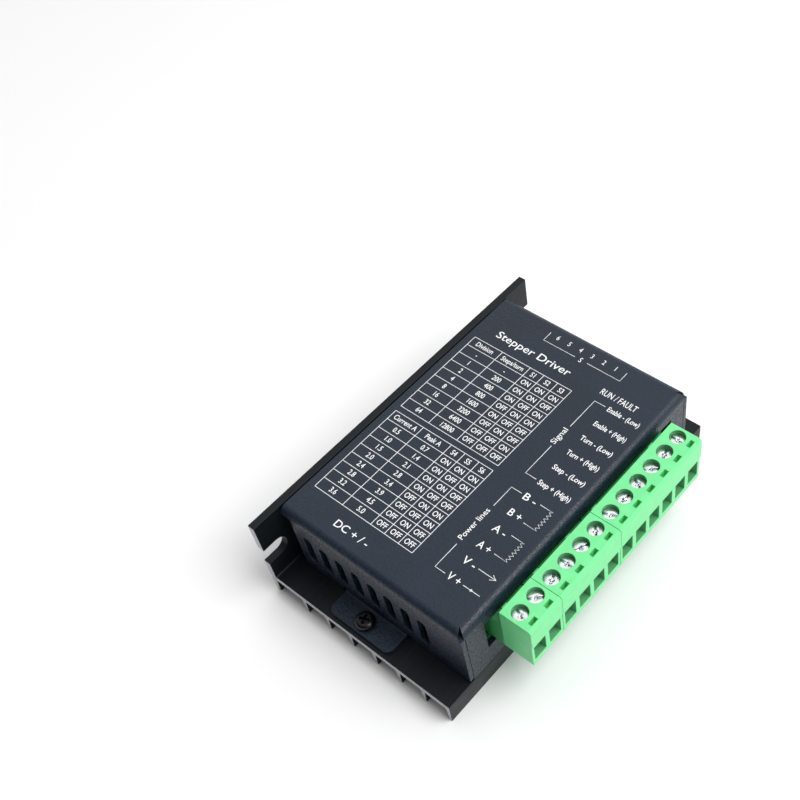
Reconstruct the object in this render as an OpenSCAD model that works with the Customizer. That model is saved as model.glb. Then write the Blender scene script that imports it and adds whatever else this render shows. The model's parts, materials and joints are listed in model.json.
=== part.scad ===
// Stepper driver module: finned heat sink, folded cover and pluggable terminals.
// X runs along the module, -Y is the terminal side, +Y the mounting flange, Z is up.
// The origin is midway across the whole depth, plugs included, at the fin tips.

/* [Heat sink] */
// Length of the heat sink along X
body_l = 96; // [90:1:150]
// Width of the heat sink, from the terminal side to the mounting face
body_w = 57; // [52:1:90]
// Thickness of the base plate
base_t = 2; // [1.5:0.1:4]
// Height of the fins under the base plate
fin_h = 4.8; // [3:0.1:15]
// Number of fins, the one flush with the terminal side included
fin_n = 7; // [3:1:12]
// Thickness of a fin at its root
fin_root_t = 1.2; // [0.8:0.1:1.6]
// Thickness of a fin at its tip
fin_tip_t = 0.9; // [0.6:0.1:1.6]
// Clear foot between the last fin and the mounting face
foot_gap = 11; // [6:0.5:14]
// Thickness of the mounting flange
flange_t = 2; // [1.5:0.1:4]
// How far the flange stops below the cover's top
flange_drop = 0.2; // [0:0.1:2]
// Width of the mounting slots
slot_w = 5.4; // [3.4:0.1:6.4]
// Depth of the mounting slots from the ends
slot_d = 6.5; // [4:0.1:7]
// Height of the slots' centre line above the fin tips
slot_z = 15.3; // [12:0.1:20]

/* [Cover] */
// Sheet thickness
sheet_t = 1.2; // [0.8:0.1:1.6]
// Outside radius of the bends at the top edges
bend_r = 2; // [1.7:0.1:3]
// Bare heat sink left at each end, outside the cover
end_land = 7.3; // [6.5:0.1:12]
// Gap between the cover's open edge and the flange
edge_gap = 0.5; // [0.2:0.1:2]
// Width of the screw tabs
tab_w = 19.3; // [10:0.1:24]
// Length of the screw tabs beyond the end walls
tab_l = 6.3; // [5.8:0.1:6.5]
// Distance of the tab screws from the end walls
tab_screw_d = 3.5; // [3.3:0.1:3.8]
// Number of vent slots in the near end wall
vent_n = 8; // [2:1:8]
// Spacing of the vent slots
vent_pitch = 5.02; // [3.5:0.01:5.2]
// Width of a vent slot
vent_w = 2.5; // [1:0.1:3]
// Height of a vent slot
vent_h = 9.7; // [4:0.1:11]

/* [Circuit board] */
// Height of the board's underside above the base plate
standoff_h = 5.2; // [4.8:0.1:10]
// Thickness of the board
board_t = 1.6; // [1:0.1:2.4]
// Height of the input capacitors, which sets the cover's height
cap_h = 11.2; // [10:0.1:20]
// Diameter of the input capacitors
cap_d = 8; // [5:0.1:9]

/* [Terminals] */
// Spacing of the terminals
pitch = 5.08; // [5.08:0.01:6.2]
// Length of a plug beyond its terminals, both ends together
plug_extra = 0.2; // [0.1:0.01:0.4]
// Seam between neighbouring plugs
plug_seam = 0.1; // [0.05:0.01:0.3]
// Shift of the terminal row from the middle of the body
row_shift = -0.5; // [-1:0.1:1]
// How far the plugs stand out of the terminal side
plug_out = 11; // [11:0.1:16]
// Height of a plug
plug_h = 14.2; // [14:0.1:18]
// Height of a board header
header_h = 8.6; // [8.4:0.1:9]
// Diameter of the screw wells
well_d = 3.9; // [3.8:0.1:4.1]
// Rise of a clamp cage from open to closed
cage_travel = 2.5; // [1:0.1:2.5]

/* [Switch block] */
// Number of switches
dip_n = 6; // [2:1:8]
// Spacing of the switches
dip_pitch = 2.54; // [2.54:0.01:2.8]
// Travel of a slider
dip_travel = 1.2; // [0.8:0.1:1.6]

/* [Hidden] */
$fn = 48;
eps = 0.01;

// ---- levels, from the fin tips up
base_z = fin_h + base_t;
board_z = base_z + standoff_h;
top_z = board_z + board_t;
cap_gap = 1.2;
cover_z = top_z + cap_h + cap_gap + sheet_t;
flange_h = cover_z - flange_drop;

// ---- depth, from the terminal side to the mounting face
y_face = (body_w + plug_out) / 2;
y_front = y_face - body_w;
y_mid = y_face - body_w / 2;
cover_edge_y = y_face - flange_t - edge_gap;

// ---- heat sink outline
fin_pitch = (body_w - foot_gap - fin_root_t / 2) / (fin_n - 1);
root_fillet = 0.5;
foot_tip_t = 1.2;
foot_root_t = 1.7;

// ---- terminal row
counts = [2, 4, 6];
poles = 12;
plug_gap = plug_extra + plug_seam;
row_l = poles * pitch + 2 * plug_gap;
row_x = row_shift - row_l / 2;
function poles_before(g) = g == 0 ? 0 : counts[g - 1] + poles_before(g - 1);
function plug_x(g) = row_x + poles_before(g) * pitch + g * plug_gap;
function group_of(i) = i <= 2 ? 0 : i <= 6 ? 1 : 2;
function pole_x(i) = plug_x(group_of(i)) + (i - 0.5 - poles_before(group_of(i))) * pitch;
function pole_xs(g) = [for (k = [1 : counts[g]]) plug_x(g) + (k - 0.5) * pitch];

// ---- cover, at least as long as its cut-out for the terminals needs
cut_near = 2.4;
cut_far = 4;
cut_land = 1.6;
cut_reach = max(cut_near - row_x, row_x + row_l + cut_far) + sheet_t + cut_land;
cover_l = max(body_l - 2 * end_land, 2 * cut_reach);
wall_x = cover_l / 2;
sink_l = cover_l + 2 * end_land;
slot_x = sink_l / 2 - slot_d + slot_w / 2;
tab_bend_r = 0.5;
wall_inset = 2.8;
tab_corner_r = 2;
relief_w = 1.2;
corner_gap = 0.1;
corner_open = 0.9;
wall_corner_r = 1.2;
vent_first = 7;
vent_z = top_z + 2.45;

// ---- fasteners
m3_r = 1.5;
thread_gap = 0.05;
cover_head_r = 2.4;
cover_head_h = 1.9;
board_head_r = 2.6;
board_head_h = 1.8;
hole_gap = 0.2;

// ---- board outline and fixings
board_side_gap = 1;
board_l = cover_l - 2 * sheet_t - 2 * board_side_gap;
board_y0 = y_front + sheet_t + 0.3;
board_y1 = y_face - flange_t - 1.5;
fix_x = board_l / 2 - 2.9;
fix_y_front = y_front + 12.4;
fix_y_back = board_y1 - 3.8;
standoff_af = 5;
stud_l = base_t - 0.1;
tapped_l = 3.5;

// ---- plugs and headers
plug_y0 = y_front - plug_out;
plug_y1 = y_front - 2.6;
plug_z0 = top_z;
plug_z1 = plug_z0 + plug_h;
screw_y = plug_y0 + 4.9;

// board header
header_l = 12;
header_y0 = plug_y1 + 0.3;
header_y1 = header_y0 + header_l;
header_wall = 0.8;
header_roof = 1;
header_back = 2.6;
header_z1 = top_z + header_h;
pin_w = 1;
pin_z = top_z + 4.3;
pin_gap = 0.05;
pin_leg_y = header_y1 - header_back / 2;
pin_tip_y = header_y0 + 1.6;
pin_tail = 1.2;

// plug housing
tongue_gap = 0.2;
tongue_l = header_y1 - header_back - plug_y1 - 0.4;
chamber_w = 4.2;
chamber_l = 5;
chamber_z0 = plug_z0 + 0.8;
cage_z0 = chamber_z0 + 0.2;
cage_w = 4;
cage_l = 4.6;
cage_floor = 0.8;
cage_roof = 1.4;
cage_window = 4.7;
cage_window_w = 3;
cage_h = cage_floor + cage_window + cage_roof;
cage_head_gap = 0.2;
chamber_z1 = cage_z0 + cage_h + cage_travel + cage_head_gap;
neck_h = 0.8;
well_z = chamber_z1 + neck_h;
contact_t = 0.8;
contact_w = 2.4;
contact_z1 = cage_z0 + cage_floor + cage_window - 0.1;
contact_z0 = contact_z1 - contact_t;
fork_gap = 0.1;
channel_z0 = pin_z - 1.5;
window_w = 4.3;
window_z0 = plug_z0 + 1.4;
window_h = 5.9;
throat_w = 3;
step_z = plug_z0 + 7.9;
step_d = 0.3;
edge_chamfer = 0.6;
probe_w = 2.1;
probe_l = 1.1;
probe_d = 2.2;
probe_y = plug_y0 + 1.5;
rib_w = 1.6;
rib_l = 1.7;
rib_z = header_z1 + 0.4;
rib_h = 2;

// terminal screw
term_head_r = well_d / 2 - 0.12;
term_head_h = 1.5;
term_head_z = well_z + 0.05;
term_shank_r = 1.45;
term_shank_z = contact_z1 + 0.15;

// heights of the cover's cut-out for the terminals
cut_z0 = top_z - 0.5;
cut_z1 = header_z1 + 0.7;

// switch block
dip_l = dip_n * dip_pitch + 1.6;
dip_depth = 6.5;
dip_h = 9.4;
dip_x1 = wall_x - sheet_t - 0.3;
dip_y = y_mid - 2.25;
dip_slot_w = 1.5;
dip_slot_d = 1.5;
slider_w = 1.3;
slider_h = 1.7;
slider_out = 0.7;
slider_z = top_z + dip_h / 2 - dip_travel / 2;
dip_window_gap = 0.4;

// lamps
lamp_w = 1.4;
lamp_base_h = 0.8;
lamp_r = 0.7;
lamp_l = 2;
lamp_x = plug_x(2) + 6 * pitch + 1.2;
lamp_pitch = 1.7;
lamp_y = board_y0 + 0.1;

// chip stack under the board
chip_w = 9;
chip_t = 1;
pad_w = 10;
pad_t = 0.8;
spreader_w = 13;
stack_x = -4;
stack_y = y_mid + 2;

// ---- small shapes used by several pieces
module block(x0, x1, y0, y1, z0, z1) {
    translate([x0, y0, z0]) cube([x1 - x0, y1 - y0, z1 - z0]);
}

module rounded_rect(w, l, r) {
    square([w - 2 * r, l], center = true);
    square([w, l - 2 * r], center = true);
    for (sx = [-1, 1], sy = [-1, 1])
        translate([sx * (w / 2 - r), sy * (l / 2 - r)]) circle(r);
}

// A round bar of length l along X
module bar_x(r, l) {
    rotate([0, 90, 0]) cylinder(r = r, h = l);
}

// A pan head standing on z = 0, with a cross recess
module pan_head(r, h, recess_w, recess_l, recess_d) {
    difference() {
        rotate_extrude() {
            square([r, h / 2]);
            square([r - h / 2, h]);
            translate([r - h / 2, h / 2]) intersection() {
                circle(h / 2);
                square(h);
            }
        }
        for (a = [0, 90]) rotate([0, 0, a])
            translate([-recess_l / 2, -recess_w / 2, h - recess_d])
                cube([recess_l, recess_w, recess_d + 1]);
    }
}

// ---- heat sink
module fin_outline(root_t, tip_t) {
    polygon([[-tip_t / 2, 0], [tip_t / 2, 0], [root_t / 2, fin_h + eps], [-root_t / 2, fin_h + eps]]);
}

// A concave corner at the origin, filling towards -x side * and -y
module fillet_outline(side) {
    translate([side * root_fillet / 2, -root_fillet / 2]) difference() {
        square(root_fillet + 2 * eps, center = true);
        translate([side * root_fillet / 2, -root_fillet / 2]) circle(root_fillet);
    }
}

module heatsink_outline() {
    translate([y_front, fin_h]) square([body_w, base_t]);
    translate([y_face - flange_t, fin_h]) square([flange_t, flange_h - fin_h]);
    for (k = [0 : fin_n - 1]) {
        fin_y = y_front + fin_root_t / 2 + k * fin_pitch;
        translate([fin_y, 0]) fin_outline(fin_root_t, fin_tip_t);
        translate([fin_y + fin_root_t / 2, fin_h]) fillet_outline(1);
        if (k > 0) translate([fin_y - fin_root_t / 2, fin_h]) fillet_outline(-1);
    }
    foot_y = y_face - foot_root_t / 2;
    translate([foot_y, 0]) fin_outline(foot_root_t, foot_tip_t);
    translate([foot_y - foot_root_t / 2, fin_h]) fillet_outline(-1);
    translate([y_face - flange_t, base_z]) mirror([0, 1]) fillet_outline(-1);
}

module heatsink() {
    color("#24262b") difference() {
        translate([-sink_l / 2, 0, 0]) rotate([90, 0, 90]) linear_extrude(sink_l) heatsink_outline();
        for (side = [-1, 1]) {
            translate([side * slot_x, y_face + 1, slot_z]) rotate([90, 0, 0])
                cylinder(d = slot_w, h = flange_t + 2);
            translate([side * (slot_x + slot_d), y_face, slot_z])
                cube([2 * slot_d, 3 * flange_t, slot_w], center = true);
            translate([side * (wall_x + tab_screw_d), y_mid, fin_h - 1])
                cylinder(r = m3_r + thread_gap, h = base_t + 2);
        }
        at_board_fixings() translate([0, 0, fin_h - 1]) cylinder(r = m3_r + thread_gap, h = base_t + 2);
    }
}

// ---- cover
// What a bend lacks at a corner, seen from above: x runs along the bend from the corner, y across it
module bend_end_outline() {
    slope = (bend_r - corner_open) / bend_r;
    polygon([[-1, -1], [corner_open - slope, -1], [bend_r + slope, bend_r + 1], [-1, bend_r + 1]]);
}

module end_wall() {
    // top bend along the end wall
    difference() {
        translate([wall_x - bend_r, 0, cover_z - bend_r]) rotate([-90, 0, 0])
            translate([0, 0, y_front]) quarter_bend(cover_edge_y - y_front);
        translate([wall_x, y_front, cover_z - bend_r - 1]) linear_extrude(bend_r + 2)
            rotate([0, 0, 90]) bend_end_outline();
    }
    difference() {
        block(wall_x - sheet_t, wall_x, y_front, cover_edge_y - wall_inset, base_z, cover_z - bend_r);
        // rounded lower corner at the terminal side
        translate([wall_x - sheet_t - 1, y_front, base_z]) rotate([90, 0, 90]) linear_extrude(sheet_t + 2)
            difference() {
                translate([-1, -1]) square(wall_corner_r + 1);
                translate([wall_corner_r, wall_corner_r]) circle(wall_corner_r);
            }
        // the tab's bend takes the place of the wall's foot
        block(wall_x - sheet_t - 1, wall_x + 1, y_mid - tab_w / 2 - relief_w, y_mid + tab_w / 2 + relief_w,
            base_z - 1, base_z + sheet_t + tab_bend_r);
    }
    translate([wall_x + tab_bend_r, y_mid - tab_w / 2, base_z + sheet_t + tab_bend_r])
        rotate([-90, 0, 0]) foot_bend(tab_w);
    difference() {
        translate([wall_x, y_mid, base_z]) linear_extrude(sheet_t) intersection() {
            rounded_rect(2 * tab_l, tab_w, tab_corner_r);
            translate([tab_bend_r, -tab_w]) square([tab_l, 2 * tab_w]);
        }
        translate([wall_x + tab_screw_d, y_mid, base_z - 1]) cylinder(r = m3_r + hole_gap, h = sheet_t + 2);
    }
}

// Quarter of a bent sheet along +Z, from the top face round to the +x side
module quarter_bend(l) {
    difference() {
        intersection() {
            cylinder(r = bend_r, h = l);
            translate([0, -bend_r, 0]) cube([bend_r, bend_r, l]);
        }
        translate([0, 0, -1]) cylinder(r = bend_r - sheet_t, h = l + 2);
    }
}

// The same where the wall's foot turns outwards into the tab
module foot_bend(l) {
    difference() {
        intersection() {
            cylinder(r = tab_bend_r + sheet_t, h = l);
            translate([-tab_bend_r - sheet_t, 0, 0]) cube([tab_bend_r + sheet_t, tab_bend_r + sheet_t, l]);
        }
        translate([0, 0, -1]) cylinder(r = tab_bend_r, h = l + 2);
    }
}

module vent_slots() {
    for (k = [0 : vent_n - 1]) {
        vent_y = cover_edge_y - vent_first - k * vent_pitch;
        for (end = [-1, 1])
            translate([-wall_x - 1, vent_y, vent_z + end * (vent_h - vent_w) / 2])
                bar_x(vent_w / 2, sheet_t + 2);
        translate([-wall_x + sheet_t / 2, vent_y, vent_z])
            cube([sheet_t + 2, vent_w, vent_h - vent_w], center = true);
    }
}

module cover() {
    color("#2c3138") difference() {
        union() {
            block(-wall_x + bend_r, wall_x - bend_r, y_front + bend_r, cover_edge_y,
                cover_z - sheet_t, cover_z);
            end_wall();
            mirror([1, 0, 0]) end_wall();
            // terminal side: its bend, then its wall between the end walls
            difference() {
                translate([-wall_x, y_front + bend_r, cover_z - bend_r]) rotate([90, 0, 90])
                    rotate([0, 0, 180]) quarter_bend(cover_l);
                for (side = [0, 1]) mirror([side, 0, 0])
                    translate([wall_x, y_front, cover_z - bend_r - 1]) linear_extrude(bend_r + 2)
                        mirror([1, 0, 0]) bend_end_outline();
            }
            block(-wall_x + sheet_t + corner_gap, wall_x - sheet_t - corner_gap,
                y_front, y_front + sheet_t, base_z, cover_z - bend_r);
        }
        vent_slots();
        block(row_x - cut_near, row_x + row_l + cut_far, y_front - 1, y_front + sheet_t + 1, cut_z0, cut_z1);
        block(wall_x - sheet_t - 1, wall_x + 1, dip_y - dip_l / 2 - dip_window_gap,
            dip_y + dip_l / 2 + dip_window_gap, top_z + 0.6, top_z + dip_h - 0.6);
    }
}

module cover_screws() {
    color("#15161a") for (side = [-1, 1])
        translate([side * (wall_x + tab_screw_d), y_mid, base_z + sheet_t]) {
            rotate([0, 0, 20]) pan_head(cover_head_r, cover_head_h, 0.6, 2.6, 1.1);
            translate([0, 0, -sheet_t - stud_l]) cylinder(r = m3_r, h = sheet_t + stud_l + eps);
        }
}

// ---- circuit board and what is on it
module at_board_fixings() {
    for (side = [-1, 1], y = [fix_y_front, fix_y_back]) translate([side * fix_x, y, 0]) children();
}

module circuit_board() {
    color("#1d5b39") difference() {
        block(-board_l / 2, board_l / 2, board_y0, board_y1, board_z, top_z);
        at_board_fixings() translate([0, 0, board_z - 1]) cylinder(r = m3_r + hole_gap, h = board_t + 2);
        for (i = [1 : poles]) translate([pole_x(i), pin_leg_y, board_z - 1])
            cylinder(r = pin_w * 0.75, h = board_t + 2);
    }
}

module board_standoffs() {
    color("#b8964a") at_board_fixings() {
        difference() {
            translate([0, 0, base_z]) rotate([0, 0, 30])
                cylinder(d = standoff_af / cos(30), h = standoff_h, $fn = 6);
            translate([0, 0, board_z - tapped_l]) cylinder(r = m3_r - 0.15, h = tapped_l + 1);
        }
        translate([0, 0, base_z - stud_l]) cylinder(r = m3_r, h = stud_l + eps);
    }
}

module board_screws() {
    color("#c9ccd0") at_board_fixings() translate([0, 0, top_z]) {
        pan_head(board_head_r, board_head_h, 0.6, 2.8, 1.1);
        translate([0, 0, -board_t - tapped_l + 0.5])
            cylinder(r = m3_r - 0.2, h = board_t + tapped_l - 0.5 + eps);
    }
}

module driver_chip() {
    color("#1a1b1d") translate([stack_x, stack_y, board_z - chip_t / 2]) {
        cube([chip_w, chip_w, chip_t], center = true);
        // short leads on all four sides, soldered to the board's underside
        for (a = [0 : 90 : 270], k = [-5 : 5]) rotate([0, 0, a])
            translate([chip_w / 2 + 0.2, k * 0.7, chip_t / 2 - 0.1]) cube([0.6, 0.3, 0.2], center = true);
    }
}

module thermal_pad() {
    color("#b9c3d6") translate([stack_x - pad_w / 2, stack_y - pad_w / 2, board_z - chip_t - pad_t])
        cube([pad_w, pad_w, pad_t]);
}

module heat_spreader() {
    spreader_h = standoff_h - chip_t - pad_t;
    color("#c5c8cc") translate([stack_x, stack_y, base_z]) linear_extrude(spreader_h)
        rounded_rect(spreader_w, spreader_w, 1);
}

module input_capacitors() {
    r = cap_d / 2;
    color("#22262f") for (k = [0, 1])
        translate([-board_l / 2 + 8 + k * (cap_d + 1.5), y_mid + 4, top_z]) rotate_extrude() difference() {
            square([r, cap_h]);
            // the can's crimp groove near its foot, and its rounded shoulder
            translate([r + 0.3, 1.8]) circle(0.7);
            translate([r - 0.6, cap_h - 0.6]) difference() {
                square(1);
                circle(0.6);
            }
        }
}

module inductor() {
    color("#3a3d42") translate([-board_l / 2 + 10, y_mid - 7, top_z]) {
        linear_extrude(0.8) rounded_rect(7.2, 7.2, 1);
        translate([0, 0, 0.8 - eps]) cylinder(r = 3.2, h = 3 + eps);
    }
}

module regulator() {
    color("#1c1d20") translate([-board_l / 2 + 21, y_mid - 7, top_z]) {
        translate([-3.3, -3, 0.1]) cube([6.6, 6, 2.3]);
        translate([-2.7, 3 - eps, 0]) cube([5.4, 1.2, 0.6]);
        for (x = [-2.3, 2.3]) translate([x - 0.4, -5.2, 0]) cube([0.8, 2.2 + eps, 0.5]);
    }
}

module sense_resistors() {
    color("#2b2b2e") for (k = [0 : 3])
        translate([stack_x - 10 + k * 7.4, board_y1 - 4, top_z]) {
            translate([-3.1, -1.6, 0.05]) cube([6.2, 3.2, 0.55]);
            for (side = [-1, 1]) translate([side * 2.85 - 0.35, -1.65, 0]) cube([0.7, 3.3, 0.65]);
        }
}

module optocouplers() {
    color("#17181a") for (k = [0 : 2])
        translate([7 + k * 7.6, header_y1 + 7.2, top_z]) {
            translate([-2.3, -3.2, 0.2]) cube([4.6, 6.4, 3.3]);
            for (sx = [-1, 1], sy = [-1, 1])
                translate([sx * 1.27 - 0.25, sy * 3.8 - 0.7, 0]) cube([0.5, 1.4, 0.6]);
        }
}

module logic_chip() {
    color("#191a1c") translate([16, y_mid + 8, top_z]) {
        translate([-5, -1.95, 0.15]) cube([10, 3.9, 1.4]);
        for (k = [-3.5 : 3.5], side = [-1, 1])
            translate([k * 1.27 - 0.2, side * 2.4 - 0.55, 0]) cube([0.4, 1.1, 0.4]);
    }
}

module lamp(x) {
    translate([x - lamp_w / 2, lamp_y, top_z]) cube([lamp_w, lamp_l, lamp_base_h]);
    translate([x, lamp_y, top_z + lamp_base_h]) {
        translate([-lamp_r, 0.2, -eps]) cube([2 * lamp_r, lamp_l - 0.4, lamp_r + eps]);
        translate([0, lamp_l - 0.2, lamp_r]) rotate([90, 0, 0]) cylinder(r = lamp_r, h = lamp_l - 0.4);
    }
}

module power_lamp() {
    color("#4fd06a") lamp(lamp_x);
}

module alarm_lamp() {
    color("#e2423a") lamp(lamp_x + lamp_pitch);
}

// ---- switch block
function dip_pole_y(i) = dip_y - (i - (dip_n + 1) / 2) * dip_pitch;

module switch_block() {
    color("#b5262b") difference() {
        block(dip_x1 - dip_depth, dip_x1, dip_y - dip_l / 2, dip_y + dip_l / 2, top_z, top_z + dip_h);
        for (i = [1 : dip_n])
            block(dip_x1 - dip_slot_d, dip_x1 + 1,
                dip_pole_y(i) - dip_slot_w / 2, dip_pole_y(i) + dip_slot_w / 2,
                slider_z - slider_h / 2 - 0.15, slider_z + slider_h / 2 + dip_travel + 0.15);
    }
}

module switch_slider(i) {
    color("#f2f2ee") block(dip_x1 - dip_slot_d + 0.1, dip_x1 + slider_out, dip_pole_y(i) - slider_w / 2,
        dip_pole_y(i) + slider_w / 2, slider_z - slider_h / 2, slider_z + slider_h / 2);
}

// ---- board headers
module header(g) {
    l = counts[g] * pitch;
    x0 = plug_x(g);
    color("#1f7a3c") difference() {
        block(x0, x0 + l, header_y0, header_y1, top_z, header_z1);
        block(x0 + header_wall, x0 + l - header_wall, header_y0 - 1, header_y1 - header_back,
            top_z + header_wall, header_z1 - header_roof);
        // each pin passes the back wall and turns down inside it
        for (x = pole_xs(g)) {
            half = pin_w / 2 + pin_gap;
            block(x - half, x + half, header_y1 - header_back - 1, pin_leg_y + half,
                pin_z - half, pin_z + half);
            block(x - half, x + half, pin_leg_y - half, pin_leg_y + half, top_z - 1, pin_z);
        }
    }
}

module header_pins() {
    half = pin_w / 2;
    color("#d8d4c4") for (i = [1 : poles]) {
        x = pole_x(i);
        block(x - half, x + half, pin_tip_y, pin_leg_y + half, pin_z - half, pin_z + half);
        block(x - half, x + half, pin_leg_y - half, pin_leg_y + half, board_z - pin_tail, pin_z);
    }
}

// ---- plugs
// Wire entry: a rectangular mouth that narrows to the clamp cage
module wire_funnel() {
    mouth_y = plug_y0 - 1;
    throat_y = screw_y - chamber_l / 2 + eps;
    throat_z0 = cage_z0 + cage_floor;
    throat_z1 = contact_z0;
    intersection() {
        translate([-window_w, 0, 0]) rotate([90, 0, 90]) linear_extrude(2 * window_w)
            polygon([[mouth_y, window_z0], [throat_y, throat_z0], [throat_y, throat_z1],
                [mouth_y, window_z0 + window_h]]);
        translate([0, 0, plug_z0]) linear_extrude(plug_h)
            polygon([[-window_w / 2, mouth_y], [window_w / 2, mouth_y],
                [throat_w / 2, throat_y], [-throat_w / 2, throat_y]]);
    }
}

// Everything cut out of a plug for one pole
module pole_cuts() {
    wire_funnel();
    block(-chamber_w / 2, chamber_w / 2, screw_y - chamber_l / 2, screw_y + chamber_l / 2,
        chamber_z0, chamber_z1);
    translate([0, screw_y, well_z]) cylinder(d = well_d, h = plug_h);
    translate([0, screw_y, chamber_z1 - 1]) cylinder(r = term_shank_r + 0.08, h = neck_h + 2);
    block(-contact_w / 2, contact_w / 2, screw_y, plug_y1 + tongue_l + 1, channel_z0, contact_z1);
    block(-probe_w / 2, probe_w / 2, probe_y - probe_l / 2, probe_y + probe_l / 2,
        plug_z1 - probe_d, plug_z1 + 1);
}

// Side outline of the plug body: front face with a step, bevelled top edge
module plug_outline() {
    polygon([[plug_y1, plug_z0], [plug_y1, plug_z1], [plug_y0 + edge_chamfer, plug_z1],
        [plug_y0, plug_z1 - edge_chamfer], [plug_y0, step_z], [plug_y0 + step_d, step_z],
        [plug_y0 + step_d, plug_z0]]);
}

module plug(g) {
    l = counts[g] * pitch;
    x0 = plug_x(g);
    end_x = x0 - plug_extra / 2;
    inset = header_wall + tongue_gap;
    rib_xs = counts[g] > 2 ? [3.15, l - 6] : [3.15];
    color("#7fe29a") {
        difference() {
            union() {
                translate([end_x, 0, 0]) rotate([90, 0, 90]) linear_extrude(l + plug_extra) plug_outline();
                block(x0 + inset, x0 + l - inset, plug_y1 - eps, plug_y1 + tongue_l,
                    plug_z0 + inset, header_z1 - header_roof - tongue_gap);
                for (x = rib_xs)
                    block(x0 + x - rib_w / 2, x0 + x + rib_w / 2, plug_y1 - eps, plug_y1 + rib_l,
                        rib_z, rib_z + rib_h);
            }
            for (x = pole_xs(g)) translate([x, 0, 0]) pole_cuts();
        }
    }
}

module contacts(g) {
    leg_in = pin_w / 2 + fork_gap;
    tip_y = plug_y1 + tongue_l - 0.3;
    color("#cfc7a8") for (x = pole_xs(g)) translate([x, 0, 0]) {
        block(-contact_w / 2, contact_w / 2, screw_y - chamber_l / 2 + 0.4, tip_y, contact_z0, contact_z1);
        for (side = [0, 1]) mirror([side, 0, 0])
            block(leg_in, contact_w / 2, plug_y1 + 1, tip_y, pin_z - pin_w / 2 - 0.3, contact_z0 + eps);
    }
}

// ---- terminal screws and clamp cages
// Angles at which the twelve screws happen to stand
function screw_angle(i) = (i * 67) % 180;

module terminal_screw(i) {
    color("#d5d8dc") translate([pole_x(i), screw_y, 0]) {
        translate([0, 0, term_head_z]) rotate([0, 0, screw_angle(i)]) difference() {
            cylinder(r = term_head_r, h = term_head_h);
            translate([-term_head_r - 1, -0.3, term_head_h - 0.8]) cube([2 * term_head_r + 2, 0.6, 2]);
            translate([-0.3, -1.1, term_head_h - 0.8]) cube([0.6, 2.2, 2]);
        }
        translate([0, 0, term_shank_z]) cylinder(r = term_shank_r, h = term_head_z - term_shank_z + eps);
    }
}

module clamp_cage(i) {
    color("#c8ccd2") translate([pole_x(i), screw_y, cage_z0]) difference() {
        translate([-cage_w / 2, -cage_l / 2, 0]) cube([cage_w, cage_l, cage_h]);
        translate([-cage_window_w / 2, -cage_l / 2 - 1, cage_floor])
            cube([cage_window_w, cage_l + 2, cage_window]);
        translate([0, 0, cage_h - cage_roof - 1]) cylinder(r = term_shank_r + 0.05, h = cage_roof + 2);
    }
}

heatsink();
cover();
cover_screws();
circuit_board();
board_standoffs();
board_screws();
driver_chip();
thermal_pad();
heat_spreader();
input_capacitors();
inductor();
regulator();
sense_resistors();
optocouplers();
logic_chip();
power_lamp();
alarm_lamp();
switch_block();
for (i = [1 : dip_n]) switch_slider(i);
header(0);  // header_2
header(1);  // header_4
header(2);  // header_6
header_pins();
plug(0);  // plug_2
plug(1);  // plug_4
plug(2);  // plug_6
contacts(0);  // contacts_2
contacts(1);  // contacts_4
contacts(2);  // contacts_6
for (i = [1 : poles]) terminal_screw(i);
for (i = [1 : poles]) clamp_cage(i);
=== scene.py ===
"""Stepper driver module: finishes, rounded edges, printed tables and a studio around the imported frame."""

import json
import math

import bpy
from mathutils import Matrix, Vector

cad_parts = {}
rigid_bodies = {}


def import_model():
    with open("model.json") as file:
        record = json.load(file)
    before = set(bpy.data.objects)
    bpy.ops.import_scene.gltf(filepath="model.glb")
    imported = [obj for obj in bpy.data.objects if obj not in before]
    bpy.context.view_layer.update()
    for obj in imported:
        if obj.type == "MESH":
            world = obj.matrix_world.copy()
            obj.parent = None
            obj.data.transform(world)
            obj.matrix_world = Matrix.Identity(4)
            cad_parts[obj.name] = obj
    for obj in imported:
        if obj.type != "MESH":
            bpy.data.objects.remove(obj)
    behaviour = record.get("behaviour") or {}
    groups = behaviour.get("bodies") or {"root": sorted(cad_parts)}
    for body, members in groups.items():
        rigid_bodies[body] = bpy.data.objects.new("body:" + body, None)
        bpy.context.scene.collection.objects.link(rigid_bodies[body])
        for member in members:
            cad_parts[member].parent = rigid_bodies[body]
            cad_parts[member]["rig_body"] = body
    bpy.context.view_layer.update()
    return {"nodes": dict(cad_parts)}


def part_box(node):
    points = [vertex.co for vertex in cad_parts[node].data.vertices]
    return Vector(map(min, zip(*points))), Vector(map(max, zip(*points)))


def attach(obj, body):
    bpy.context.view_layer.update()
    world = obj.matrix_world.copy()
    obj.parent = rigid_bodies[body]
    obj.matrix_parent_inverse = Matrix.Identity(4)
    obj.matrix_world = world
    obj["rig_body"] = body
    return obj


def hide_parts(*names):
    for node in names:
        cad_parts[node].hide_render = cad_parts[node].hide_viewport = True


bl_info = {
    "name": "Stepper driver module",
    "version": (1, 0, 0),
    "blender": (4, 5, 0),
    "location": "View3D > Sidebar > Driver module",
    "description": "Dresses the packed stepper driver module and sets up its studio",
    "category": "Object",
}

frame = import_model()
MM = 0.001
# edges sharper than this are rounded and shaded as edges
SHARP = math.radians(38)

# The parts that everything else is placed from
COVER_LOW, COVER_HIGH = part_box("cover")
SINK_LOW, SINK_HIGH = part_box("heatsink")
POLES = 12
PLUGS = {"2": (1, 2), "4": (3, 6), "6": (7, 12)}


# ---------------------------------------------------------------- settings


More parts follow.
